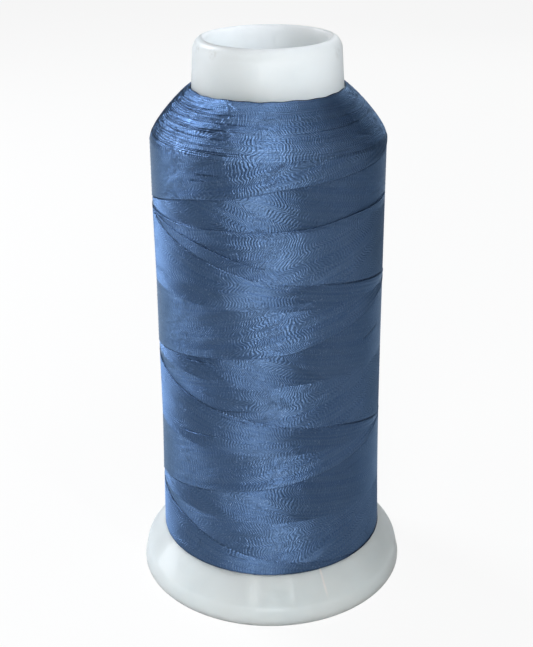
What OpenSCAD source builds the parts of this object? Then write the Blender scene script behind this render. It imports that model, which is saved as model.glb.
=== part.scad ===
// King spool of embroidery thread: a conical plastic tube with a round lip, a push-fit base
// that lifts away to trap the thread's tail, and the thread wound on the tube.
// Millimetres. The origin is at the centre of the base, on the table, and +Z runs up the tube.

/* [Tube] */
// Height from the table to the top of the lip
spool_h = 168; // [150:1:185]
// Outer radius of the cone, measured at the height of the lip
cone_top_r = 20.55; // [20.2:0.05:22]
// Angle between the cone's wall and its axis, in degrees
cone_angle = 3.5; // [3:0.1:3.8]
// Thickness of the cone's wall
tube_wall = 2.2; // [1.6:0.1:2.6]
// Inner radius of the mouth, inside the lip
mouth_r = 17.3; // [16:0.1:17.6]
// Depth of the straight part of the mouth, below the lip's rounding
mouth_depth = 8; // [5:0.5:12]
// Height over which the mouth widens to the cone's own bore
mouth_taper_h = 5; // [3:0.5:8]
// Width of the lip's inner rounding
lip_in_w = 0.9; // [0.5:0.1:1.2]
// Height of the lip's inner rounding
lip_in_h = 1.8; // [1:0.1:2.5]
// Height of the lip's outer rounding
lip_out_h = 3.9; // [2.5:0.1:4.5]

/* [Foot of the tube] */
// Radius of the thin flange that carries the winding
foot_r = 33; // [31.5:0.1:33.2]
// Thickness of that flange
foot_t = 1; // [0.8:0.1:1.5]
// Height of the straight socket that takes the base's sleeve, above the foot's lower face
socket_up = 13; // [12:0.5:15]
// Wall of the spigot below the foot
spigot_wall = 2; // [1.6:0.1:2.2]
// Length of the spigot below the foot
spigot_len = 9; // [7:0.5:9.5]

/* [Base] */
// Radius of the base where it stands on the table
base_r = 41.8; // [39:0.1:45]
// Height of the seat that the tube's foot rests on
seat_h = 13.3; // [12.5:0.1:16]
// Outer radius of the flat seat
seat_r = 34.3; // [33.8:0.1:35.5]
// Radius of the ridge where the sloping top meets the rim
ridge_r = 40.7; // [38.2:0.1:41.2]
// Height of that ridge
ridge_h = 5.1; // [4:0.1:7]
// Radius of the rounding along the ridge
ridge_round = 1.4; // [0.5:0.1:1.8]
// Thickness of the base's walls
base_wall = 2; // [1.6:0.1:2.4]
// Number of stiffening ribs under the base
ribs = 8; // [4:1:12]
// Thickness of each rib
rib_t = 1.6; // [1.2:0.1:2]
// Height that the ribs and the sleeve stay clear of the table
under_gap = 1; // [0.6:0.1:2]

/* [Snap] */
// Distance that the tube lifts off its base to free the thread's tail
snap_travel = 4; // [3:0.5:4.5]
// Running clearance of the sleeve in the socket, at the radius
snap_clear = 0.08; // [0.05:0.01:0.1]
// Wall of the sleeve
sleeve_wall = 2; // [1.6:0.1:2.4]
// Height of the sleeve above the seat
sleeve_up = 8.5; // [8:0.5:9.5]
// Height of the snap bead's lower edge above the seat
bead_up = 2.7; // [2.5:0.1:3]
// Height of the snap bead
bead_h = 1.6; // [1.2:0.1:2]
// How far the bead stands out of the sleeve
bead_out = 0.43; // [0.3:0.01:0.5]
// Clearance round the bead in its groove
bead_clear = 0.15; // [0.1:0.01:0.2]
// Number of slots that part the sleeve into fingers
slots = 6; // [4:1:8]
// Width of each slot
slot_w = 3; // [2:0.5:4]

/* [Winding] */
// Outer radius of the winding's straight side
side_r = 33.65; // [33.5:0.05:36]
// Extra radius of the winding at its lower edge
flare = 1.1; // [0.6:0.05:1.6]
// How late the flare sets in: 1 is a plain cone, higher stays straight for longer
flare_power = 4.5; // [2:0.5:6]
// Height of the bare collar, from the top of the winding to the top of the lip
collar_h = 13.3; // [12:0.1:20]
// Height of the shoulder, from the straight side to the top of the winding
shoulder_len = 14.3; // [11:0.1:20]
// Length of the upright pull at the start of the shoulder's curve
shoulder_rise = 2.9; // [1:0.1:6]
// Radius of the point that bends the shoulder's curve towards the tube
shoulder_pull_r = 24.3; // [23:0.1:28]
// Drop of that point below the shoulder's top
shoulder_pull_drop = 0.7; // [0.2:0.1:3]
// Gap between the base and the lowest thread
thread_gap = 0.3; // [0.3:0.05:0.5]
// Clearance between the tube and the thread wound on it
wound_clear = 0.05; // [0.03:0.01:0.1]
// Number of turns in the outer layer
turns = 24; // [12:1:24]
// Thickness of a turn, measured outward
turn_t = 0.62; // [0.4:0.02:0.7]
// Gap between one turn and the next
turn_gap = 0.55; // [0.45:0.05:0.8]

/* [Hidden] */
$fn = 96;
over = 1; // how far a cut runs past a face

thread_blue = "#46699a";
tube_white = "#e4eaea";
base_white = "#dfe6e7";

// ---- heights and radii that follow from the sizes above ----
foot_top = seat_h + foot_t;
lip_r = mouth_r + lip_in_w;
socket_top = seat_h + socket_up;
socket_r = cone_r(socket_top) - tube_wall; // where the cone's bore runs into the socket
sleeve_r = socket_r - snap_clear;
bore_r = sleeve_r - sleeve_wall;
spigot_r = socket_r + spigot_wall;
well_r = spigot_r + snap_clear * 5;
groove_r = sleeve_r + bead_out + bead_clear;
bead_low = seat_h + bead_up;
mouth_low = spool_h - lip_in_h - mouth_depth;
shoulder_h = spool_h - collar_h;
side_top_h = shoulder_h - shoulder_len;

function cone_r(z) = cone_top_r + (spool_h - z) * tan(cone_angle);

// Points along an arc of an ellipse, from one angle to another
arc_steps = 8;
function arc(centre, rx, ry, from, to) =
    [for (i = [0:arc_steps]) let (a = from + (to - from) * i / arc_steps)
        [centre[0] + rx * cos(a), centre[1] + ry * sin(a)]];

// ---- tube ----
module tube_outline() {
    lip_side_r = cone_r(spool_h - lip_out_h);
    polygon(concat(
        [[socket_r, seat_h - spigot_len],
         [spigot_r, seat_h - spigot_len],
         [spigot_r, seat_h],
         [foot_r, seat_h],
         [foot_r, foot_top],
         [cone_r(foot_top), foot_top]],
        arc([lip_r, spool_h - lip_out_h], lip_side_r - lip_r, lip_out_h, 0, 90),
        arc([lip_r, spool_h - lip_in_h], lip_in_w, lip_in_h, 90, 180),
        [[mouth_r, mouth_low],
         [cone_r(mouth_low - mouth_taper_h) - tube_wall, mouth_low - mouth_taper_h],
         [socket_r, socket_top]]));
}

module core_tube() {
    groove_h = snap_travel + bead_h + 2 * bead_clear;
    color(tube_white) difference() {
        rotate_extrude() tube_outline();
        translate([0, 0, bead_low - snap_travel - bead_clear]) cylinder(r = groove_r, h = groove_h);
    }
}

// ---- base ----
// The rim's outer face leans in from the table to the ridge, and the top slopes up to the seat.
// The ridge is rounded by an arc that touches both faces.
function unit(v) = v / norm(v);
ridge_corner = [ridge_r, ridge_h];
down_rim = unit([base_r, 0] - ridge_corner);
up_slope = unit([seat_r, seat_h] - ridge_corner);
half_corner = acos(down_rim * up_slope) / 2;
ridge_centre = ridge_corner + unit(down_rim + up_slope) * ridge_round / sin(half_corner);
ridge_touch = ridge_round / tan(half_corner);

module base_outline() {
    rim_touch = ridge_corner + down_rim * ridge_touch;
    slope_touch = ridge_corner + up_slope * ridge_touch;
    a0 = atan2(rim_touch[1] - ridge_centre[1], rim_touch[0] - ridge_centre[0]);
    a1 = atan2(slope_touch[1] - ridge_centre[1], slope_touch[0] - ridge_centre[0]);
    polygon(concat(
        [[0, 0], [base_r, 0]],
        arc(ridge_centre, ridge_round, ridge_round, a0, a1),
        [[seat_r, seat_h], [0, seat_h]]));
}

// The base's outline moved inward by a wall: inside it lies the space under the base
slope = (seat_h - ridge_h) / (ridge_r - seat_r);
function inner_outline(wall) =
    let (drop = wall / cos(atan(slope)),
         rim_in_r = ridge_r - wall)
    [[0, -over],
     [base_r - wall, -over],
     [base_r - wall, 0],
     [rim_in_r, seat_h - drop - (rim_in_r - seat_r) * slope],
     [seat_r - (drop - wall) / slope, seat_h - wall],
     [0, seat_h - wall]];

well_wall_r = well_r + base_wall;

module hollow() {
    difference() {
        rotate_extrude() polygon(inner_outline(base_wall));
        translate([0, 0, -2 * over]) cylinder(r = well_wall_r, h = seat_h + 2 * over);
    }
}

// Ribs from the well's wall to the rim, let into both by half a wall
module base_ribs() {
    intersection() {
        rotate_extrude() polygon(inner_outline(base_wall / 2));
        for (i = [0:ribs - 1])
            rotate([0, 0, i * 360 / ribs])
                translate([well_wall_r - base_wall / 2, -rib_t / 2, under_gap])
                    cube([base_r - well_wall_r, rib_t, seat_h]);
    }
}

module sleeve_solid() {
    translate([0, 0, under_gap]) cylinder(r = sleeve_r, h = seat_h + sleeve_up - under_gap);
    translate([0, 0, bead_low]) rotate_extrude()
        polygon([[0, 0], [sleeve_r, 0], [sleeve_r + bead_out, bead_out],
                 [sleeve_r + bead_out, bead_h / 2], [sleeve_r, bead_h], [0, bead_h]]);
}

module snap_base() {
    well_floor = seat_h - spigot_len - base_wall / 2;
    color(base_white) difference() {
        union() {
            difference() {
                rotate_extrude() base_outline();
                hollow();
                // the well that the spigot drops into
                translate([0, 0, well_floor]) cylinder(r = well_r, h = seat_h);
                // the well stands clear of the table
                translate([0, 0, -over])
                    cylinder(r = (well_wall_r + base_r - base_wall) / 2, h = under_gap + over);
            }
            base_ribs();
            sleeve_solid();
        }
        translate([0, 0, -over]) cylinder(r = bore_r, h = seat_h + sleeve_up + 2 * over);
        for (i = [0:slots - 1])
            rotate([0, 0, (i + 0.5) * 360 / slots])
                translate([0, -slot_w / 2, well_floor + base_wall])
                    cube([sleeve_r + bead_out + over, slot_w, seat_h + sleeve_up]);
    }
}

// ---- winding ----
// The winding's outer outline runs from its lower edge up the side and over the shoulder.
rings_per_turn = 24;
sides = 6;
side_steps = 40;
shoulder_steps = 24;
edge_low = seat_h + thread_gap;

// The radius where a ring of straight chords still clears the tube
turn_end_r = cone_r(shoulder_h) / cos(180 / rings_per_turn) + 2 * wound_clear;

function side_point(u) =
    [side_r + flare * pow(1 - u, flare_power), edge_low + (side_top_h - edge_low) * u];

function bezier(p, t) =
    pow(1 - t, 3) * p[0] + 3 * t * pow(1 - t, 2) * p[1] + 3 * t * t * (1 - t) * p[2] + pow(t, 3) * p[3];

shoulder_curve = [
    [side_r, side_top_h],
    [side_r, side_top_h + shoulder_rise],
    [shoulder_pull_r, shoulder_h - shoulder_pull_drop],
    [turn_end_r, shoulder_h]];

outline = concat(
    [for (i = [0:side_steps - 1]) side_point(i / side_steps)],
    [for (i = [0:shoulder_steps]) bezier(shoulder_curve, i / shoulder_steps)]);
last = len(outline) - 1;

// Length along the outline up to each of its points
function run_lengths(i = 0, sum = 0) =
    i > last ? [] : let (s = i == 0 ? 0 : sum + norm(outline[i] - outline[i - 1]))
        concat([s], run_lengths(i + 1, s));
lengths = run_lengths();
outline_len = lengths[last];

function along(s) = lookup(s, [for (i = [0:last]) [lengths[i], i]]);
function point_at(s) = let (k = along(s), i = min(floor(k), last - 1))
    outline[i] + (outline[i + 1] - outline[i]) * (k - i);
look = 1.5; // reach to each side when the outline's direction is taken
function way_at(s) = unit(point_at(min(s + look, outline_len)) - point_at(max(s - look, 0)));
function outward(way) = [way[1], -way[0]];

// The chords of a turn lie this much nearer the axis than its corners
function chord_sag(r) = r * (1 - cos(180 / rings_per_turn));
core_inset = turn_t + chord_sag(side_r + flare) / 2 + wound_clear;

module thread_package() {
    skin = [for (i = [0:last]) let (s = lengths[i])
        outline[i] - outward(way_at(s)) * core_inset];
    above = [for (p = skin) if (p[1] > foot_top && p[0] > cone_r(p[1]) + 2 * wound_clear) p];
    top_z = above[len(above) - 1][1];
    color(thread_blue) rotate_extrude()
        polygon(concat(
            [[cone_r(foot_top) + wound_clear, foot_top], [skin[0][0], foot_top]],
            above,
            [[cone_r(top_z) + wound_clear, top_z]]));
}

turn_pitch = (outline_len + turn_gap) / (turns + 1);
turn_w = turn_pitch - turn_gap;
half_w = turn_w / 2;
half_t = turn_t / 2;
end_run = 3; // straight length at each end of the thread
ring_count = turns * rings_per_turn;

// A turn's section: a flat six-sided band, wide along the outline and thin outward
section = [for (k = [0:sides - 1]) let (a = 360 / sides * (k + 0.5))
    [half_t / cos(180 / sides) * cos(a), half_w * sin(a)]];

function ring_s(i) = half_w + turn_pitch * i / rings_per_turn;
function ring(i, ahead = 0) =
    let (s = ring_s(i),
         a = 360 * i / rings_per_turn,
         way = way_at(s),
         out = outward(way),
         centre = point_at(s) - out * (half_t - chord_sag(point_at(s)[0]) / 2))
    [for (c = section) let (p = centre + out * c[0] + way * c[1])
        [p[0] * cos(a) - ahead * sin(a), p[0] * sin(a) + ahead * cos(a), p[1]]];

all_rings = concat(
    [ring(0, -end_run)],
    [for (i = [0:ring_count]) ring(i)],
    [ring(ring_count, end_run)]);

module outer_turns() {
    total = len(all_rings);
    points = [for (r = all_rings, p = r) p];
    walls = [for (i = [0:total - 2], k = [0:sides - 1])
        let (n = (k + 1) % sides, a = i * sides + k, b = i * sides + n, c = a + sides, d = b + sides)
            each [[a, b, d], [a, d, c]]];
    first_cap = [for (k = [1:sides - 2]) [0, k + 1, k]];
    top = (total - 1) * sides;
    last_cap = [for (k = [1:sides - 2]) [top, top + k, top + k + 1]];
    color(thread_blue) polyhedron(points = points, faces = concat(walls, first_cap, last_cap), convexity = 10);
}

// Least distance between corners of one turn and those of the turn above it
least_gap = min([for (i = [0:ring_count - rings_per_turn], j = [-1:1])
    let (up = i + rings_per_turn + j)
        if (up <= ring_count)
            for (p = ring(i), q = ring(up)) norm(p - q)]);
echo(least_gap_between_turns = least_gap);

snap_base();
core_tube();
thread_package();
outer_turns();
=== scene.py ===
import bpy
import math
import numpy as np
from mathutils import Euler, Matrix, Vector


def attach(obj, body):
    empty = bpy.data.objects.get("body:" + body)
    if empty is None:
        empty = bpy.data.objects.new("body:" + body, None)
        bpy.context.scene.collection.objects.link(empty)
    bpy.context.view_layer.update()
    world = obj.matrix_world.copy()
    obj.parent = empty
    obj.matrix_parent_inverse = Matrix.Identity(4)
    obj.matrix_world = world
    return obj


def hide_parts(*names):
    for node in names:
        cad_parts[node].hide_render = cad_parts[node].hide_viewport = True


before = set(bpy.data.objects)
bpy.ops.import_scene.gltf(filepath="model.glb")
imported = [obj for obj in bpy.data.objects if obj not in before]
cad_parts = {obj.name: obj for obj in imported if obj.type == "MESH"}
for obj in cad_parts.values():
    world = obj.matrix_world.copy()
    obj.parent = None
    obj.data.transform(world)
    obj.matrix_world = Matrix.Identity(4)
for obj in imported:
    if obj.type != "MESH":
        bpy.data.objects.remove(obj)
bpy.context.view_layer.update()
mm = 0.001
fullTurn = 2 * math.pi
print("frame loaded:", ", ".join(sorted(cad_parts)))


class Wire:  # one output of a material's nodes; an expression on wires adds Math nodes
    def __init__(self, finish, socket):
        self.finish = finish
        self.socket = socket

    def other(self, name):  # another output of the same node
        return Wire(self.finish, self.socket.node.outputs[name])

    def maths(self, operation, *values):
        return self.finish.node("ShaderNodeMath", {"operation": operation}, values)

    def __add__(self, value):
        return self.maths("ADD", self, value)

    def __radd__(self, value):
        return self.maths("ADD", value, self)

    def __sub__(self, value):
        return self.maths("SUBTRACT", self, value)

    def __rsub__(self, value):
        return self.maths("SUBTRACT", value, self)

    def __mul__(self, value):
        return self.maths("MULTIPLY", self, value)

    def __rmul__(self, value):
        return self.maths("MULTIPLY", value, self)

    def __truediv__(self, value):
        return self.maths("DIVIDE", self, value)

    def __rtruediv__(self, value):
        return self.maths("DIVIDE", value, self)

    def __pow__(self, value):
        return self.maths("POWER", self, value)

    def sin(self):
        return self.maths("SINE", self)

    def cos(self):
        return self.maths("COSINE", self)

    def abs(self):
        return self.maths("ABSOLUTE", self)

    def fromTo(self, low, high, lowOut=0.0, highOut=1.0):  # a smooth step from one value to another
        settings = {"interpolation_type": "SMOOTHSTEP"}
        return self.finish.node("ShaderNodeMapRange", settings, (self, low, high, lowOut, highOut))


class Finish:  # a material and the nodes that make it
    def __init__(self, name):
        self.material = bpy.data.materials.new(name)
        self.material.use_nodes = True
        self.tree = self.material.node_tree
        self.tree.nodes.clear()

    def node(self, kind, settings=None, values=(), output=0):
        made = self.tree.nodes.new(kind)
        for key, value in (settings or {}).items():
            setattr(made, key, value)
        pairs = values.items() if isinstance(values, dict) else enumerate(values)
        for key, value in pairs:
            if isinstance(value, Wire):
                self.tree.links.new(value.socket, made.inputs[key])
            else:
                made.inputs[key].default_value = value
        return Wire(self, made.outputs[output])

    def vector(self, x, y, z):
        return self.node("ShaderNodeCombineXYZ", values=(x, y, z))

    def noise(self, vector, scale, detail=2.0, roughness=0.5):
        values = {"Vector": vector, "Scale": scale, "Detail": detail, "Roughness": roughness}
        return self.node("ShaderNodeTexNoise", values=values)

    def mixed(self, amount, first, second):  # colours
        return self.node("ShaderNodeMix", {"data_type": "RGBA"}, {0: amount, 6: first, 7: second}, output=2)

    def bump(self, height, distance, normal=None):
        values = {"Height": height, "Distance": distance}
        if normal:
            values["Normal"] = normal
        return self.node("ShaderNodeBump", values=values)

    def distance(self, first, second):
        settings = {"operation": "DISTANCE"}
        return self.node("ShaderNodeVectorMath", settings, (first, second), output="Value")

    def surface(self, shader):  # the finished material
        out = self.tree.nodes.new("ShaderNodeOutputMaterial")
        self.tree.links.new(shader.socket, out.inputs["Surface"])
        return self.material

    def position(self):  # the place as one vector, and its x, y and z, in millimetres
        place = self.node("ShaderNodeTexCoord", output="Object")
        values = {"Vector": place, "Scale": 1 / mm}
        scaled = self.node("ShaderNodeVectorMath", {"operation": "SCALE"}, values)
        x = self.node("ShaderNodeSeparateXYZ", values=(scaled,))
        return scaled, x, x.other("Y"), x.other("Z")


def colour(hexCode):  # a screen colour as linear red, green, blue and alpha
    parts = [int(hexCode[i:i + 2], 16) / 255 for i in (1, 3, 5)]
    linear = [p / 12.92 if p <= 0.04045 else ((p + 0.055) / 1.055) ** 2.4 for p in parts]
    return (*linear, 1.0)


def around(degrees, radius, height):  # 0 degrees faces the front, and positive turns to the right
    angle = np.radians(degrees)
    return np.stack(np.broadcast_arrays(radius * np.sin(angle), -radius * np.cos(angle), height), -1)


def gridObject(name, points, wrapRows=False):  # quads between closed rows of points, in mm
    rows, columns = points.shape[:2]
    r, c = np.meshgrid(np.arange(rows if wrapRows else rows - 1), np.arange(columns), indexing="ij")
    up, right = (r + 1) % rows, (c + 1) % columns
    faces = np.stack([r * columns + c, r * columns + right, up * columns + right, up * columns + c], -1)
    mesh = bpy.data.meshes.new(name)
    mesh.from_pydata((points.reshape(-1, 3) * mm).tolist(), [], faces.reshape(-1, 4).tolist())
    mesh.update()
    return meshObject(name, mesh)


def meshObject(name, mesh):
    piece = bpy.data.objects.new(name, mesh)
    bpy.context.scene.collection.objects.link(piece)
    return piece


def lathe(name, outline, segments=192):  # a closed outline of radius and height, turned round the axis
    degrees = np.arange(segments) * 360 / segments
    rows = [around(degrees, r, z) for r, z in outline]
    return gridObject(name, np.array(rows), wrapRows=True)


def rounded(corners, steps=5):  # corners of radius, height and how far the rounding reaches
    outline = []
    count = len(corners)
    for i, (r, z, reach) in enumerate(corners):
        here = np.array([r, z], float)
        if not reach:
            outline.append(here)
            continue
        before = np.array(corners[i - 1][:2]) - here
        after = np.array(corners[(i + 1) % count][:2]) - here
        start = here + before / np.linalg.norm(before) * reach
        end = here + after / np.linalg.norm(after) * reach
        for t in np.linspace(0, 1, steps):
            outline.append(start * (1 - t) ** 2 + 2 * here * t * (1 - t) + end * t ** 2)
    return outline


def ellipse(centreR, centreZ, width, height, start, end, steps):  # part of an ellipse as sharp corners
    angles = np.radians(np.linspace(start, end, steps))
    return [(centreR + width * math.cos(a), centreZ + height * math.sin(a), 0) for a in angles]


def smooth(piece, sharpAngle=32):
    piece.data.shade_smooth()
    piece.data.set_sharp_from_angle(angle=math.radians(sharpAngle))


def carve(piece, cutter, operation):  # a boolean, applied at once
    step = piece.modifiers.new("carve", "BOOLEAN")
    step.operation = operation
    step.solver = "EXACT"
    step.object = cutter
    shape = bpy.context.evaluated_depsgraph_get()
    made = bpy.data.meshes.new_from_object(piece.evaluated_get(shape))
    piece.modifiers.clear()
    piece.data = made
    bpy.data.objects.remove(cutter)


def join(piece, tubes):  # adds closed tubes, each a grid of rings, to a mesh
    corners = [v.co[:] for v in piece.data.vertices]
    faces = [tuple(p.vertices) for p in piece.data.polygons]
    for rings in tubes:
        count, sides = rings.shape[:2]
        first = len(corners)
        corners += (rings.reshape(-1, 3) * mm).tolist()
        for i in range(count - 1):
            for k in range(sides):
                a, b = first + i * sides + k, first + i * sides + (k + 1) % sides
                faces.append((a, a + sides, b + sides, b))
        faces.append(tuple(first + k for k in range(sides)))
        faces.append(tuple(first + (count - 1) * sides + k for k in reversed(range(sides))))
    mesh = bpy.data.meshes.new(piece.name)
    mesh.from_pydata(corners, [], faces)
    piece.data = mesh


def boxMesh(boxes):  # boxes of 8 corners each, in mm
    corners = [corner for box in boxes for corner in box]
    sides = ((0, 3, 2, 1), (4, 5, 6, 7), (0, 1, 5, 4), (1, 2, 6, 5), (2, 3, 7, 6), (3, 0, 4, 7))
    faces = [[8 * i + k for k in side] for i in range(len(boxes)) for side in sides]
    mesh = bpy.data.meshes.new("boxes")
    mesh.from_pydata([tuple(c * mm for c in corner) for corner in corners], [], faces)
    return meshObject("boxes", mesh)


def radialBox(degrees, inner, outer, width, low, high):  # a box that points away from the axis
    turned = math.radians(degrees)
    out = np.array([math.sin(turned), -math.cos(turned)])
    aside = np.array([math.cos(turned), math.sin(turned)]) * width / 2
    flat = [out * inner - aside, out * outer - aside, out * outer + aside, out * inner + aside]
    return [(*p, z) for z in (low, high) for p in flat]


plastic = {
    "tubeTint": "#eaf4f6",
    "tubeShade": "#e0ebee",
    "baseTint": "#e2f0f4",
    "baseShade": "#d9e7ec",
    "roughness": 0.42,
    "gloss": 0.28,
    "tubeCoat": 0.08,
    "baseCoat": 0.27,
    "coatRoughness": 0.1,
    "tubeScatter": 26.0,
    "baseScatter": 8.0,
    "scatterTint": (1.0, 1.06, 1.1),
    "ior": 1.49,
    "cloudScale": 0.045,
    "speckTint": "#b9b7ab",
    "speckScale": 0.9,
    "speckAmount": 0.1,
    "speckRoughness": 0.12,
    "smudgeTint": "#a9aaa2",
    "smudgeScale": 0.7,
    "lineHighlightAmount": 0.75,
    "lineFade": 3.0,
    "waveScale": 0.12,
    "waveDepth": 0.15,
    "grainScale": 3.5,
    "grainDepth": 0.01,
}


def plasticFinish(kind, smudges=(), mouldLineHighlight=None, settings=plastic):
    finish = Finish(kind + "Plastic")
    place, x, y = finish.position()[:3]
    cloudy = finish.noise(place, settings["cloudScale"], 3.0)
    base = finish.mixed(cloudy.fromTo(0.35, 0.7), colour(settings[kind + "Tint"]),
                        colour(settings[kind + "Shade"]))
    specks = finish.noise(place, settings["speckScale"], 4.0, 0.6)
    base = finish.mixed(specks.fromTo(0.68, 0.8, 0.0, settings["speckAmount"]), base,
                        colour(settings["speckTint"]))
    for degrees, radius, height, reach, tone in smudges:  # handling marks
        middle = tuple(float(v) for v in around(degrees, radius, height))
        away = finish.distance(place, middle)
        broken = finish.noise(place, settings["smudgeScale"], 3.0).fromTo(0.35, 0.65)
        mark = away.fromTo(reach, 0.0) * broken
        base = finish.mixed(mark * tone, base, colour(settings["smudgeTint"]))
    if mouldLineHighlight:  # a mould line with a painted highlight along it: a thin pale line that runs outwards and fades
        degrees, inner, outer, width = mouldLineHighlight
        sideways, forwards = math.cos(math.radians(degrees)), math.sin(math.radians(degrees))
        beside = (x * sideways + y * forwards).abs()
        along = x * forwards - y * sideways
        ends = along.fromTo(outer, outer - settings["lineFade"]) * along.fromTo(inner - 1, inner)
        lineHighlight = beside.fromTo(width, 0.0) * ends * settings["lineHighlightAmount"]
        base = finish.mixed(lineHighlight, base, colour("#ffffff"))
    swell = finish.noise(place, settings["waveScale"], 1.0)
    grain = finish.noise(place, settings["grainScale"], 3.0, 0.6)
    normal = finish.bump(swell, settings["waveDepth"] * mm)
    normal = finish.bump(grain, settings["grainDepth"] * mm, normal)
    shader = finish.node("ShaderNodeBsdfPrincipled", {"subsurface_method": "RANDOM_WALK"}, {
        "Base Color": base,
        "Roughness": settings["roughness"] + (specks - 0.5) * settings["speckRoughness"],
        "Normal": normal,
        "IOR": settings["ior"],
        "Specular IOR Level": settings["gloss"],
        "Coat Weight": settings[kind + "Coat"],
        "Coat Roughness": settings["coatRoughness"],
        "Subsurface Weight": 1.0,
        "Subsurface Radius": settings["scatterTint"],
        "Subsurface Scale": settings[kind + "Scatter"] * mm,
    })
    return finish.surface(shader)


tube = {
    "height": 168.0,
    "coneTopRadius": 20.55,
    "coneAngle": 3.5,
    "wall": 2.2,
    "mouthRadius": 17.3,
    "mouthDepth": 8.0,
    "mouthTaper": 5.0,
    "lipInnerWidth": 0.9,
    "lipInnerHeight": 1.8,
    "lipOuterHeight": 3.9,
    "footRadius": 33.0,
    "footThickness": 1.0,
    "socketRadius": 27.017,
    "socketTop": 26.3,
    "spigotWall": 2.0,
    "spigotLength": 9.0,
    "grooveRadius": 27.517,
    "grooveLow": 11.85,
    "grooveHigh": 17.75,
    "seat": 13.3,
    "middle": 90.0,  # a height between the ends, for a corner on either side of the wall
    "spigotRounding": 0.3,
    "footRounding": 0.2,
    "mouthRounding": 1.5,
    "smudges": (  # degrees, radius, height, reach and strength
        (-68, 21.0, 166.4, 2.2, 0.5),
        (-45, 21.0, 166.3, 2.4, 0.45),
        (66, 21.0, 165.2, 3.0, 0.25),
    ),
}


def coneRadius(height, sizes=tube):
    return sizes["coneTopRadius"] + (sizes["height"] - height) * math.tan(math.radians(sizes["coneAngle"]))


def makeTube(s=tube):
    top, middle, socket = s["height"], s["middle"], s["socketRadius"]
    lipRadius = s["mouthRadius"] + s["lipInnerWidth"]
    lipLow, lipMiddle = top - s["lipOuterHeight"], top - s["lipInnerHeight"]
    lipWidth = coneRadius(lipLow) - lipRadius
    mouthLow = lipMiddle - s["mouthDepth"]
    taperLow = mouthLow - s["mouthTaper"]
    footTop = s["seat"] + s["footThickness"]
    spigotLow = s["seat"] - s["spigotLength"]
    spigotRadius = socket + s["spigotWall"]
    corners = [
        (socket, spigotLow, s["spigotRounding"]),
        (spigotRadius, spigotLow, s["spigotRounding"]),
        (spigotRadius, s["seat"], 0),
        (s["footRadius"], s["seat"], s["footRounding"]),
        (s["footRadius"], footTop, s["footRounding"]),
        (coneRadius(footTop), footTop, 0),
        (coneRadius(middle), middle, 0),
    ]
    corners += ellipse(lipRadius, lipLow, lipWidth, s["lipOuterHeight"], 0, 90, 16)
    corners += ellipse(lipRadius, lipMiddle, s["lipInnerWidth"], s["lipInnerHeight"], 90, 180, 10)[1:]
    corners += [
        (s["mouthRadius"], mouthLow, s["mouthRounding"]),
        (coneRadius(taperLow) - s["wall"], taperLow, s["mouthRounding"]),
        (coneRadius(middle) - s["wall"], middle, 0),
        (socket, s["socketTop"], 0),
        (socket, s["grooveHigh"], 0),
        (s["grooveRadius"], s["grooveHigh"], 0),
        (s["grooveRadius"], s["grooveLow"], 0),
        (socket, s["grooveLow"], 0),
    ]
    piece = lathe("moulded_tube", rounded(corners))
    smooth(piece)
    piece.data.materials.append(plasticFinish("tube", s["smudges"]))
    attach(piece, "spool")
    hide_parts("core_tube")
    print("tube made")


base = {
    "rimRadius": 41.8,
    "seatHeight": 13.3,
    "seatRadius": 34.3,
    "ridgeRadius": 40.7,
    "ridgeHeight": 5.1,
    "ridgeRounding": 1.0,
    "rimRounding": 0.35,
    "wall": 2.0,
    "wellRadius": 29.417,
    "wellFloor": 3.3,
    "underGap": 1.0,
    "sleeveRadius": 26.937,
    "sleeveTop": 21.8,
    "boreRadius": 24.937,
    "beadLow": 16.0,
    "beadHeight": 1.6,
    "beadOut": 0.43,
    "ribs": 8,
    "ribThickness": 1.6,
    "ribDrop": 1.0,
    "slots": 6,
    "slotWidth": 3.0,
    "slotMargin": 1.0,
    "edgeRounding": 0.3,
    "seatRounding": 0.5,
    "sleeveRounding": 0.4,
    "beadRounding": 0.1,
    "mouldLineHighlight": (25.0, 34.0, 40.4, 0.6),  # the mould line and its painted highlight: degrees, where it starts and ends, and half its width
}


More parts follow.
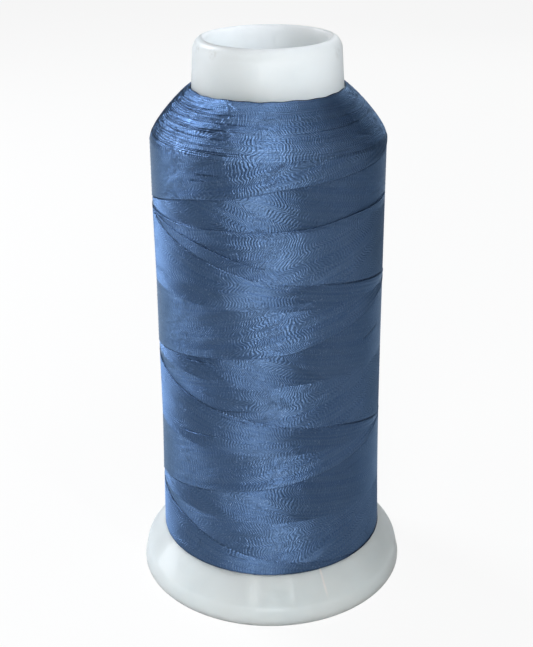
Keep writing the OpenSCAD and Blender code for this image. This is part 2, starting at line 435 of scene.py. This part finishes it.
def makeBase(s=base):
    seat, rim, wall = s["seatHeight"], s["rimRadius"], s["wall"]
    slope = (seat - s["ridgeHeight"]) / (s["ridgeRadius"] - s["seatRadius"])
    drop = wall / math.cos(math.atan(slope))
    innerRidge = s["ridgeRadius"] - wall
    innerRidgeHeight = seat - drop - (innerRidge - s["seatRadius"]) * slope
    innerTopRadius = s["seatRadius"] - (drop - wall) / slope
    wellWall = s["wellRadius"] + wall
    sleeve, bead, beadRadius = s["sleeveRadius"], s["beadLow"], s["sleeveRadius"] + s["beadOut"]
    edge, soft = s["edgeRounding"], s["seatRounding"]
    corners = [
        (rim, 0, s["rimRounding"]),
        (s["ridgeRadius"], s["ridgeHeight"], s["ridgeRounding"]),
        (s["seatRadius"], seat, soft),
        (s["wellRadius"], seat, edge),
        (s["wellRadius"], s["wellFloor"], edge),
        (sleeve, s["wellFloor"], edge),
        (sleeve, bead, 0),
        (beadRadius, bead + s["beadOut"], s["beadRounding"]),
        (beadRadius, bead + s["beadHeight"] / 2, s["beadRounding"]),
        (sleeve, bead + s["beadHeight"], 0),
        (sleeve, s["sleeveTop"], s["sleeveRounding"]),
        (s["boreRadius"], s["sleeveTop"], s["sleeveRounding"]),
        (s["boreRadius"], s["underGap"], edge),
        (wellWall, s["underGap"], edge),
        (wellWall, seat - wall, soft),
        (innerTopRadius, seat - wall, soft),
        (innerRidge, innerRidgeHeight, soft),
        (rim - wall, 0, edge),
    ]
    piece = lathe("flared_base", rounded(corners))
    ribs = []
    for i in range(s["ribs"]):
        degrees = 90 - i * 360 / s["ribs"]
        ribs.append(radialBox(degrees, wellWall - wall / 2, rim - wall / 2, s["ribThickness"],
                              s["underGap"], seat - s["ribDrop"]))
    ribBody = boxMesh(ribs)
    limits = [  # the ribs end inside the base's walls
        (wellWall - wall, -1),
        (rim - wall / 2, -1),
        (rim - wall / 2, 0),
        (s["ridgeRadius"] - wall / 2, s["ridgeHeight"] - wall / 4),
        (s["seatRadius"] - wall / 4, seat - wall / 2),
        (wellWall - wall, seat - wall / 2),
    ]
    carve(ribBody, lathe("rib_limit", limits), "INTERSECT")
    carve(piece, ribBody, "UNION")
    slots = []
    for i in range(s["slots"]):
        degrees = 90 - (i + 0.5) * 360 / s["slots"]
        slots.append(radialBox(degrees, s["boreRadius"] - 3 * s["slotMargin"], sleeve + s["slotMargin"],
                               s["slotWidth"], s["wellFloor"] + wall, s["sleeveTop"] + s["slotMargin"]))
    carve(piece, boxMesh(slots), "DIFFERENCE")
    smooth(piece)
    piece.data.materials.append(plasticFinish("base", (), s["mouldLineHighlight"]))
    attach(piece, "base")
    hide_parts("snap_base")
    print("base made")


winding = {
    "low": 13.6,
    "sideTop": 140.4,
    "top": 154.7,
    "sideRadius": 33.65,
    "flare": 1.1,
    "flarePower": 4.5,
    "shoulderRise": 2.9,
    "shoulderPullRadius": 24.3,
    "shoulderPullDrop": 0.7,
    "endRadius": 21.55,
    "columns": 288,
    "lead": 45.3,  # climb of a thread in one turn
    "layer": 0.26,  # how far the newest layer stands proud at its edge
    "bandRows": 34,
    "ridges": 36,  # ridges of turns that climb together, one lead high
    "ridgeHeight": 0.03,
    "edgeRows": (-0.55, -0.3, -0.08, 0.08, 0.3, 0.55),
    "edgeDepth": (0.0, -0.4, -0.7, 1.0, 1.0, 0.9),  # seen from the lower side, in layers
    "bandEdges": (8.9, 31.6, 54.2, 76.8, 99.4, 122.5, 141.0),
    "edgeSway": (0.2, 0.2, 0.2, 0.2, 0.3, 0.2, 0.4),
    "layerFade": 2.5,  # nearer than this to a band's edge, the layer gets thinner
    "looseFrom": 62.0,  # degrees from the sides, where the recessed steps beside the ends and their painted shade are faintest
    "looseTo": 27.0,  # and where they are at full depth
    "looseLeast": 0.2,
    "gapWidth": 0.15,
    "gapDepth": 0.16,
    "gapTone": 0.7,
    "stepAndFootShade": 0.8,
    "footShade": 0.7,
    "shoulderRows": 170,
    "shoulderTurn": 0.55,
    "shoulderStart": 0.8,
    "shoulderSway": 0.14,
    "grooves": 170,
    "grooveReach": (30, 120),
    "grooveDepth": (0.02, 0.12),
    "grooveWidth": (0.06, 0.1),
    "grooveSway": 0.35,
    "deepestGroove": 0.3,
    "leftGrooves": 70,  # the open turns on the left of the front
    "leftMiddle": (-85, -35),
    "leftReach": (25, 80),
    "leftDepth": (0.08, 0.26),
    "topShade": 0.3,
    "insideGap": 0.05,
    "insideTop": 0.8,
    "insideLow": 1.5,
}

# Where the newest layer ends in each band: degrees and height across the front.
# The back is a straight climb.
layerEnds = (
    ((-90, 31.3), (-75, 30.0), (-50, 26.8), (-30, 22.8), (-12, 19.8), (90, 9.0)),
    ((-90, 32.0), (-75, 35.4), (-30, 40.7), (0, 43.6), (40, 48.6), (75, 52.8), (90, 54.1)),
    ((-90, 76.4), (-77, 74.7), (-50, 70.5), (-20, 66.9), (5, 63.9), (40, 60.5), (75, 54.8), (90, 54.3)),
    ((-90, 77.3), (-75, 79.7), (-28, 84.2), (10, 86.9), (75, 97.1), (90, 99.2)),
    ((-90, 122.0), (-77, 120.8), (-40, 114.4), (-20, 110.8), (0, 107.8), (30, 106.0), (74, 101.5),
     (90, 99.8)),
    ((-90, 123.0), (-75, 125.2), (-40, 129.7), (-15, 132.0), (5, 134.4), (74, 137.9), (90, 140.6)),
)

# Single threads that cross the pattern: degrees and height
strayThreads = (
    ((-80, 121.5), (-40, 121.8), (-20, 122.5), (20, 123.0), (40, 124.6), (78, 125.2)),
    ((-80, 121.4), (-60, 120.2), (-40, 118.4), (-20, 114.8), (-2, 112.0)),
    ((-50, 80.9), (-28, 82.2)),
    ((-50, 57.0), (-27, 59.0)),
    ((-76, 29.0), (-52, 25.2)),
)

# Gaps between neighbouring threads: middle in degrees and height, length in degrees, and rise in mm over it
threadGaps = (
    (-39, 89.6, 24, 1.4), (-34, 135.6, 10, 0.4), (-18, 68.2, 17, 0.9), (-18, 65.6, 15, -1.2),
    (-18, 19.0, 13, -1.1), (-30, 137.4, 16, 0.4), (60, 86.0, 18, 1.4), (48, 45.6, 16, 1.6),
    (66, 128.6, 22, 0.6), (128, 70.0, 24, 2.0), (-150, 110.0, 20, -1.8), (170, 40.0, 18, 1.8),
    (-120, 60.0, 20, -1.5), (110, 118.0, 22, 1.0),
)


def sideRadius(z, s=winding):  # of the winding, a little wider towards its foot
    u = np.clip((z - s["low"]) / (s["sideTop"] - s["low"]), 0, 1)
    return s["sideRadius"] + s["flare"] * (1 - u) ** s["flarePower"]


def easeInOut(t):
    return t * t * (3 - 2 * t)


def waves(degrees, seed, harmonics, size):  # a smooth random wave that closes on itself
    chance = np.random.default_rng(seed)
    total = np.zeros_like(np.asarray(degrees, float))
    for k in harmonics:
        total += chance.normal() * np.sin(np.radians(degrees) * k + chance.uniform(0, fullTurn))
    return total * size / math.sqrt(len(harmonics))


def span(degrees, middle, length):  # 1 along a stretch of the turn, with soft ends
    away = np.abs((degrees - middle + 180) % 360 - 180)
    return easeInOut(np.clip((length / 2 - away) / (length * 0.2), 0, 1))


def layerEnd(degrees, k, low, high):  # height of the newest layer's end in band k, in between its edges
    points = np.array(layerEnds[k], float)
    front = np.interp(degrees, points[:, 0], points[:, 1])
    pastRight = ((degrees - 90) % 360) / 180
    start, stop = points[-1, 1], points[0, 1]
    height = np.where(np.abs(degrees) <= 90, front, start + (stop - start) * pastRight)
    return np.clip(height, low + 0.1, high - 0.1)


def sideRows(degrees, s=winding):  # points, kinds of thread (0 rising, 1 falling) and painted shade, row by row
    rows, reliefs, kinds = [], [], []

    def addRow(height, relief, kind):
        rows.append(height)
        reliefs.append(relief)
        kinds.append(kind)

    fromSide = np.abs(np.abs(degrees) - 90)
    sideways = easeInOut(np.clip((fromSide - s["looseFrom"]) / (s["looseTo"] - s["looseFrom"]), 0, 1))
    loose = s["looseLeast"] + (1 - s["looseLeast"]) * sideways
    edges = []
    for i, (height, sway) in enumerate(zip(s["bandEdges"], s["edgeSway"])):
        edges.append(height + waves(degrees, 10 + i, (1, 2, 3, 5), sway))
    for k in range(len(edges) - 1):
        low, high = edges[k], edges[k + 1]
        middle = layerEnd(degrees, k, low, high)
        falls = (layerEnds[k][0][1] > layerEnds[k][-1][1]) == (np.abs(degrees) <= 90)
        below, above = middle - low, high - middle
        step = s["layer"] * np.clip(np.minimum(below, above) / s["layerFade"], 0.1, 1)
        tight = np.clip(np.minimum(below, above) * 0.9 / s["edgeRows"][-1], 0, 1)
        for i in range(s["bandRows"]):
            t = i / s["bandRows"]
            reach = below + s["edgeRows"][0] * tight
            addRow(low + reach * t, np.where(falls, t, 0) * step, 1)
        for i, offset in enumerate(s["edgeRows"]):
            depth = np.where(falls, s["edgeDepth"][-1 - i], s["edgeDepth"][i])
            depth = np.where(depth < 0, depth * loose, depth)
            addRow(middle + offset * tight, depth * step, 1 if offset < -0.1 else 0)
        for i in range(1, s["bandRows"]):
            t = i / s["bandRows"]
            start = s["edgeRows"][-1] * tight
            addRow(middle + start + (above - start) * t, np.where(falls, 0, 1 - t) * step, 0)
    heights, relief, kinds = np.array(rows), np.array(reliefs), np.array(kinds)
    keep = heights.max(1) > s["low"]
    heights, relief, kinds = heights[keep], relief[keep], kinds[keep]
    heights = np.maximum(heights, s["low"] + np.arange(len(heights))[:, None] * 1e-3)
    deepest = -min(s["edgeDepth"]) * s["layer"]
    # Painted shade: the colour darkens in the recess beside each layer's end, and along the foot where the
    # winding meets the base.
    dark = np.clip(-relief / deepest, 0, s["stepAndFootShade"])
    dark = np.maximum(dark, np.clip(1 - (heights - s["low"]) / s["footShade"], 0, 1) * s["stepAndFootShade"])
    # Gaps between threads are carved in, and painted shade darkens them.
    for middle, height, length, rise in threadGaps:
        away = heights - height - rise * (degrees - middle) / length
        gapAndPaintedShade = np.exp(-(away / s["gapWidth"]) ** 2) * span(degrees, middle, length)
        relief = relief - gapAndPaintedShade * s["gapDepth"]
        dark = np.maximum(dark, gapAndPaintedShade * s["gapTone"])
    sense = np.where(kinds == 0, 1, -1)[:, None]
    ridge = np.cos(fullTurn * s["ridges"] * (heights / s["lead"] - sense * degrees / 360))
    points = around(degrees, sideRadius(heights) + relief + s["ridgeHeight"] * ridge, heights)
    return points, kinds, dark


def shoulderRows(degrees, s=winding):  # points and painted shade, row by row up to the collar
    t = np.linspace(0, 1, s["shoulderRows"])[:, None]
    p = np.array([
        [s["sideRadius"], s["sideTop"]],
        [s["sideRadius"], s["sideTop"] + s["shoulderRise"]],
        [s["shoulderPullRadius"], s["top"] - s["shoulderPullDrop"]],
        [s["endRadius"], s["top"]],
    ])
    curve = (1 - t) ** 3 * p[0] + 3 * t * (1 - t) ** 2 * p[1] + 3 * t * t * (1 - t) * p[2] + t ** 3 * p[3]
    curve = curve[curve[:, 1] > s["bandEdges"][-1] + s["shoulderStart"]]
    way = np.gradient(curve, axis=0)
    way /= np.linalg.norm(way, axis=1, keepdims=True)
    length = np.concatenate([[0], np.cumsum(np.linalg.norm(np.diff(curve, axis=0), axis=1))])[:, None]
    whole = length[-1, 0]
    chance = np.random.default_rng(7)
    groove = np.zeros((len(curve), len(degrees)))
    for i in range(s["grooves"]):
        middle, reach = chance.uniform(-180, 180), chance.uniform(*s["grooveReach"])
        depth = chance.uniform(*s["grooveDepth"])
        if i < s["leftGrooves"]:
            middle, reach = chance.uniform(*s["leftMiddle"]), chance.uniform(*s["leftReach"])
            depth = chance.uniform(*s["leftDepth"])
        place = whole * chance.uniform(-0.02, 1.0) + waves(degrees, 60 + i, (1, 2, 3, 5), s["grooveSway"])
        width = chance.uniform(*s["grooveWidth"])
        groove += depth * np.exp(-((length - place) / width) ** 2) * span(degrees, middle, reach)
    groove = np.minimum(groove, s["deepestGroove"])
    # Painted shade in the grooves.
    dark = np.clip(groove / 0.2, 0, 0.9)
    turn = np.cos(fullTurn * (length / s["shoulderTurn"] - degrees / 360))
    lift = (turn * s["ridgeHeight"] - groove) * np.clip(length / 1.5, 0, 1)
    radius = curve[:, :1] + way[:, 1:] * lift
    height = curve[:, 1:] - way[:, :1] * lift
    height = height + waves(degrees, 41, (3, 5, 8, 13, 21), s["shoulderSway"]) * (length / whole) ** 6
    # Painted shade where the winding meets the collar.
    dark = np.maximum(dark, np.clip(1.6 - (whole - length) / s["topShade"], 0, 1))
    return around(degrees, radius, height), dark


def strandTube(path, radius=0.15, sides=6, step=2.5):  # a thread that lies on the winding
    points = np.array(path, float)
    degrees = np.arange(points[0, 0], points[-1, 0], step)
    heights = np.interp(degrees, points[:, 0], points[:, 1])
    heights = np.convolve(np.pad(heights, 2, "edge"), np.ones(5) / 5, "valid")
    taper = np.clip(np.minimum(np.arange(len(degrees)), np.arange(len(degrees))[::-1]) / 3, 0, 1)
    rings = []
    for k in range(sides):
        a = fullTurn * k / sides
        lift = winding["layer"] + radius * (0.6 * taper - 1 + math.cos(a))
        rings.append(around(degrees, sideRadius(heights) + lift, heights + radius * math.sin(a)))
    return np.stack(rings, 1)


def makeThread(s=winding):
    degrees = -180 + (np.arange(s["columns"]) + 0.5) * 360 / s["columns"]
    side, kinds, sideDark = sideRows(degrees)
    shoulder, shoulderDark = shoulderRows(degrees)
    innerTop = around(degrees, coneRadius(s["top"]) + s["insideGap"], s["top"] - s["insideTop"])[None]
    innerLow = around(degrees, s["sideRadius"] - s["insideLow"], s["low"] + 0.02)[None]
    piece = gridObject("wound_thread", np.concatenate([innerLow, side, shoulder, innerTop]))
    # The rows tucked against the tube and the base get full painted shade.
    edge = np.ones((1, s["columns"]))
    dark = np.concatenate([edge, sideDark, shoulderDark, edge]).ravel()
    rowKinds = np.concatenate([[1], kinds, np.full(len(shoulder), 2)])
    faceKinds = np.repeat(rowKinds, s["columns"])
    join(piece, [strandTube(path) for path in strayThreads])
    mesh = piece.data
    faceKinds = np.pad(faceKinds, (0, len(mesh.polygons) - len(faceKinds))).astype(np.int32)
    dark = np.pad(dark, (0, len(mesh.vertices) - len(dark))).astype(np.float32)
    # The painted shade is kept per point, for the thread's colour.
    mesh.attributes.new("gapAndPaintedShade", "FLOAT", "POINT").data.foreach_set("value", dark)
    for name, sense in (("threadRising", 1), ("threadFalling", -1), ("threadShoulder", 0)):
        mesh.materials.append(threadFinish(name, sense))
    mesh.polygons.foreach_set("material_index", faceKinds)
    mesh.shade_smooth()
    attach(piece, "spool")
    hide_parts("thread_package", "outer_turns")
    print("thread made:", len(mesh.polygons), "faces")


thread = {
    "blue": "#5b7599",
    "deep": "#49648c",
    # how much lighter the shoulder's colour is: painted light on the top of the winding
    "shoulderPaintedLight": 1.4,
    # the colour of the painted shade, in recesses, gaps, grooves and stroke troughs
    "gapAndPaintedShade": "#1a2740",
    # the colour of the painted highlights: on the stroke crests and in the glint specks
    "glint": "#8fa9d0",
    "metallic": 0.92,
    "glossIor": 2.1,
    "glossTint": (0.7, 0.85, 1.0, 1),
    "roughness": {1: 0.37, -1: 0.43, 0: 0.41},
    "anisotropy": 1.0,
    "tilt": 0.037,  # of the threads, in turns
    "pitch": 0.3,
    "strandDepth": 0.012,
    "twistWaves": 245,
    "twistDepth": 0.034,
    "relief": {1: 0.95, -1: 0.8, 0: 0.95},  # rising, falling and shoulder threads
    "fanScale": 0.22,
    "fanDrift": 0.28,
    "fanSwing": 98,
    # painted highlight on the stroke crests and painted shade in their troughs
    "crestHighlight": 0.15,
    "trough": 0.22,
    "streakScale": 14,
    "streakRoughness": 0.1,
    "patchScale": 0.06,
    "clumpScale": 0.3,
    "clumps": (0.85, 1.2),
    "breakScale": 1.1,
    "breaks": (0.35, 1.15),
    # the painted glint specks
    "speckScale": 2.4,
    "speckAmount": 0.6,
    "shoulderSlope": 0.75,
}


def threadFinish(name, sense, settings=thread):  # sense is 1 for rising threads, -1 falling, 0 shoulder
    finish = Finish(name)
    place, x, y, z = finish.position()
    angle = finish.node("ShaderNodeMath", {"operation": "ARCTAN2"}, (x, -1 * y))
    turn = angle / fullTurn
    lead = winding["lead"]
    if sense:
        climb = z - turn * (lead * sense)
    else:
        climb = (z - (x * x + y * y) ** 0.5) * settings["shoulderSlope"]
    strands = climb * (fullTurn / settings["pitch"])
    ring = climb * (fullTurn / lead)
    spread = settings["streakScale"]
    along = finish.vector(ring.cos() * spread, ring.sin() * spread, turn.cos() * 0.5)
    streaks = finish.noise(along, 1.0, 4.0, 0.6)
    patches = finish.noise(place, settings["patchScale"], 2.0)
    tone = streaks * 0.75 + patches * 0.25
    # Painted light: the shoulder's colour is made lighter than the sides'.
    lift = 1.0 if sense else settings["shoulderPaintedLight"]
    deep, blue = [(*(v * lift for v in colour(settings[name])[:3]), 1.0) for name in ("deep", "blue")]
    base = finish.mixed(tone.fromTo(0.3, 0.7), deep, blue)
    # Painted shade: the colour darkens by the per-point shade.
    gapAndPaintedShade = finish.node("ShaderNodeAttribute", {"attribute_name": "gapAndPaintedShade"}, output="Fac")
    base = finish.mixed(gapAndPaintedShade, base, colour(settings["gapAndPaintedShade"]))
    reach = lead / fullTurn
    drift = settings["fanDrift"]
    lay = finish.vector(ring.cos() * reach + x * drift, ring.sin() * reach + y * drift, z * 0.05)
    fans = finish.noise(lay, settings["fanScale"], 2.0, 0.4)
    twist = (angle * settings["twistWaves"] + fans * settings["fanSwing"]).sin()
    weakest, strongest = (value * settings["relief"][sense] for value in settings["clumps"])
    clumps = finish.noise(place, settings["clumpScale"], 3.0, 0.6).fromTo(0.36, 0.62, weakest, strongest)
    breaks = finish.noise(place, settings["breakScale"], 2.0, 0.6).fromTo(0.34, 0.62, *settings["breaks"])
    strokes = twist * clumps * breaks
    # Painted highlight on the crests of the strokes, painted shade in their troughs.
    base = finish.mixed(strokes.fromTo(0.1, 1.3, 0.0, settings["crestHighlight"]), base, colour(settings["glint"]))
    base = finish.mixed(strokes.fromTo(-0.1, -1.3, 0.0, settings["trough"]), base, colour(settings["gapAndPaintedShade"]))
    # Painted glints: bright specks mixed into the colour.
    specks = finish.noise(place, settings["speckScale"], 1.0)
    amount = specks.fromTo(0.63, 0.76, 0.0, settings["speckAmount"])
    base = finish.mixed(amount, base, colour(settings["glint"]))
    normal = finish.bump(strokes, settings["twistDepth"] * mm)
    normal = finish.bump(strands.cos(), settings["strandDepth"] * mm, normal)
    shader = finish.node("ShaderNodeBsdfPrincipled", {}, {
        "Base Color": base,
        "Roughness": settings["roughness"][sense] + (streaks - 0.5) * settings["streakRoughness"],
        "Normal": normal,
        "Metallic": settings["metallic"],
        "IOR": settings["glossIor"],
        "Specular Tint": settings["glossTint"],
        "Anisotropic": settings["anisotropy"],
        "Anisotropic Rotation": 0.25 + sense * settings["tilt"],
    })
    return finish.surface(shader)


studio = {
    "target": (0, 0, 80),
    "camera": (-1.0, -322.33, 226.77),
    "pitchDown": 24.286,
    "roll": -0.562,
    "lens": 64.43,
    "sensor": 36.0,
    "worldTint": (0.9, 0.95, 1.0, 1),
    "worldLight": 0.075,
    "floorHalf": 3000,
    "floorDepth": 20,
    "floorTint": (0.86, 0.86, 0.85, 1),
    "floorGlow": 0.9,
}

daylight = (0.97, 1.0, 1.0)
skylight = (0.93, 0.98, 1.05)
warmlight = (1.0, 0.95, 0.9)

# Degrees, elevation, distance, width, height, power and tint of each lamp
lamps = {
    "paneLeft": (-10, 8, 1000, 200, 380, 2.0, daylight),
    "paneRight": (4, 8, 1000, 200, 380, 1.8, daylight),
    "slopeLeft": (-17, 38, 1000, 140, 260, 1.0, daylight),
    "slopeRight": (19, 38, 1000, 60, 240, 0.5, daylight),
    "highSide": (-70, 60, 1000, 200, 260, 0.8, daylight),
    "highLeft": (-6, 58, 1000, 46, 300, 1.2, daylight),
    "highRight": (37, 58, 1000, 46, 300, 1.25, daylight),
    "leftLow": (-104, 6, 900, 360, 170, 1.4, skylight),
    "leftHigh": (-127, 38, 900, 280, 300, 5.4, skylight),
    "rightSide": (75, 20, 900, 500, 300, 0.65, warmlight),
    "backRight": (160, 18, 900, 400, 260, 0.6, daylight),
}


def makeCamera(s=studio):
    data = bpy.data.cameras.new("camera")
    data.sensor_width = s["sensor"]
    data.lens = s["lens"]
    data.clip_start = 0.01
    camera = bpy.data.objects.new("camera", data)
    camera.location = Vector(s["camera"]) * mm
    aim = Euler((math.radians(90 - s["pitchDown"]), 0, 0)).to_matrix()
    lean = Euler((0, 0, math.radians(s["roll"]))).to_matrix()
    camera.rotation_euler = (aim @ lean).to_euler()
    bpy.context.scene.collection.objects.link(camera)
    bpy.context.scene.camera = camera


def makeLamp(name, degrees, elevation, distance, width, height, power, tint, s=studio):
    data = bpy.data.lights.new(name, "AREA")
    data.shape = "RECTANGLE"
    data.size = width * mm
    data.size_y = height * mm
    data.energy = power
    data.color = tint
    lamp = bpy.data.objects.new(name, data)
    flat = distance * math.cos(math.radians(elevation))
    rise = distance * math.sin(math.radians(elevation))
    target = np.array(s["target"], float)
    place = target + around(degrees, flat, rise)
    lamp.location = Vector(place * mm)
    lamp.rotation_euler = Vector((target - place)).to_track_quat("-Z", "Y").to_euler()
    bpy.context.scene.collection.objects.link(lamp)


def makeStudio(s=studio):
    for name, values in lamps.items():
        makeLamp(name, *values)

    world = bpy.data.worlds.new("world")
    world.use_nodes = True
    bpy.context.scene.world = world
    nodes, links = world.node_tree.nodes, world.node_tree.links
    nodes.clear()
    ray = nodes.new("ShaderNodeLightPath")
    ambient = nodes.new("ShaderNodeBackground")
    ambient.inputs["Color"].default_value = s["worldTint"]
    ambient.inputs["Strength"].default_value = s["worldLight"]
    white = nodes.new("ShaderNodeBackground")
    white.inputs["Color"].default_value = (1, 1, 1, 1)
    white.inputs["Strength"].default_value = 1.0
    blend = nodes.new("ShaderNodeMixShader")
    out = nodes.new("ShaderNodeOutputWorld")
    links.new(ray.outputs["Is Camera Ray"], blend.inputs["Fac"])
    links.new(ambient.outputs[0], blend.inputs[1])
    links.new(white.outputs[0], blend.inputs[2])
    links.new(blend.outputs[0], out.inputs["Surface"])

    half = s["floorHalf"]
    outline = ((-half, -half), (half, -half), (half, half), (-half, half))
    floor = boxMesh([[(x, y, z) for z in (-s["floorDepth"], 0) for x, y in outline]])
    floor.name = "floor"
    finish = Finish("floorPaper")
    seen = finish.node("ShaderNodeLightPath", output="Is Camera Ray")
    matte = finish.node("ShaderNodeBsdfDiffuse", values={"Color": s["floorTint"]})
    glow = finish.node("ShaderNodeEmission", values={"Color": (1, 1, 1, 1), "Strength": 1.0})
    paper = finish.node("ShaderNodeMixShader", values=(seen * s["floorGlow"], matte, glow))
    floor.data.materials.append(finish.surface(paper))
    print("studio made")


bpy.context.scene.view_settings.view_transform = "Standard"
makeCamera()
makeTube()
makeBase()
makeThread()
makeStudio()
